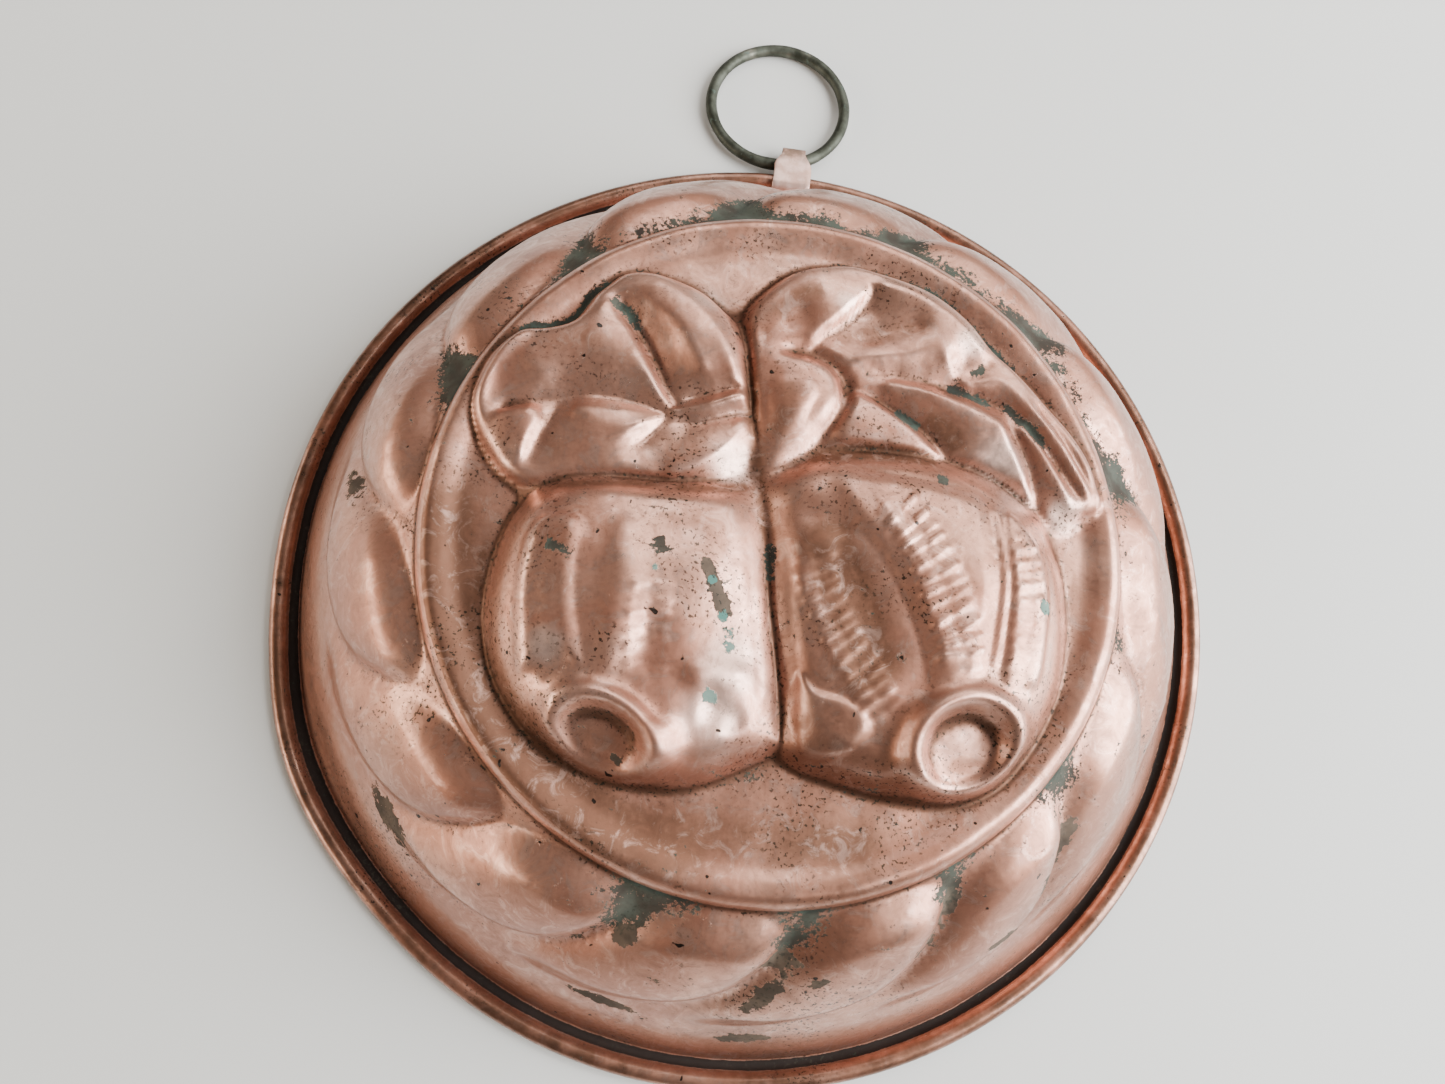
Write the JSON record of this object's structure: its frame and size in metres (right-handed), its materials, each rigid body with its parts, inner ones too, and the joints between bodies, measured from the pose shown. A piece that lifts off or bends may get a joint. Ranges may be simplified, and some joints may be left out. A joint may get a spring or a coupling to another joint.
{
  "type": "copper dessert mould",
  "caption": "Round raised copper mould with pressed fruit relief, gadrooned wall, wired rim and swinging ring in a folded strap.",
  "frame": {"origin": "under the middle of the whole object's box, on the surface that the rim stands on", "axes": "+Z along the mould's axis, out of the pressed dome; +Y from the mould towards its strap and ring"},
  "size_m": [0.24, 0.2838, 0.0669],
  "materials": {
    "copper": "worn satin copper with brown and green tarnish, tinned inside",
    "iron_wire": "dull dark iron",
    "strap_copper": "dull stained copper strip",
    "solder": "grey soft solder",
    "ring_metal": "dark olive patina, rubbed on the outside"
  },
  "bodies": {
    "mould": {"mould_shell": "copper", "rim_wire": "iron_wire", "ring_strap": "strap_copper", "strap_solder": "solder"},
    "ring": {"hanging_ring": "ring_metal"}
  },
  "joints": [
    {"name": "ring_swing", "type": "hinge", "parent": "mould", "child": "ring", "pos_m": [0, 0.1019, 0.0027], "axis": [0.9563, 0.2924, 0], "range_deg": [-90, 108]}
  ]
}
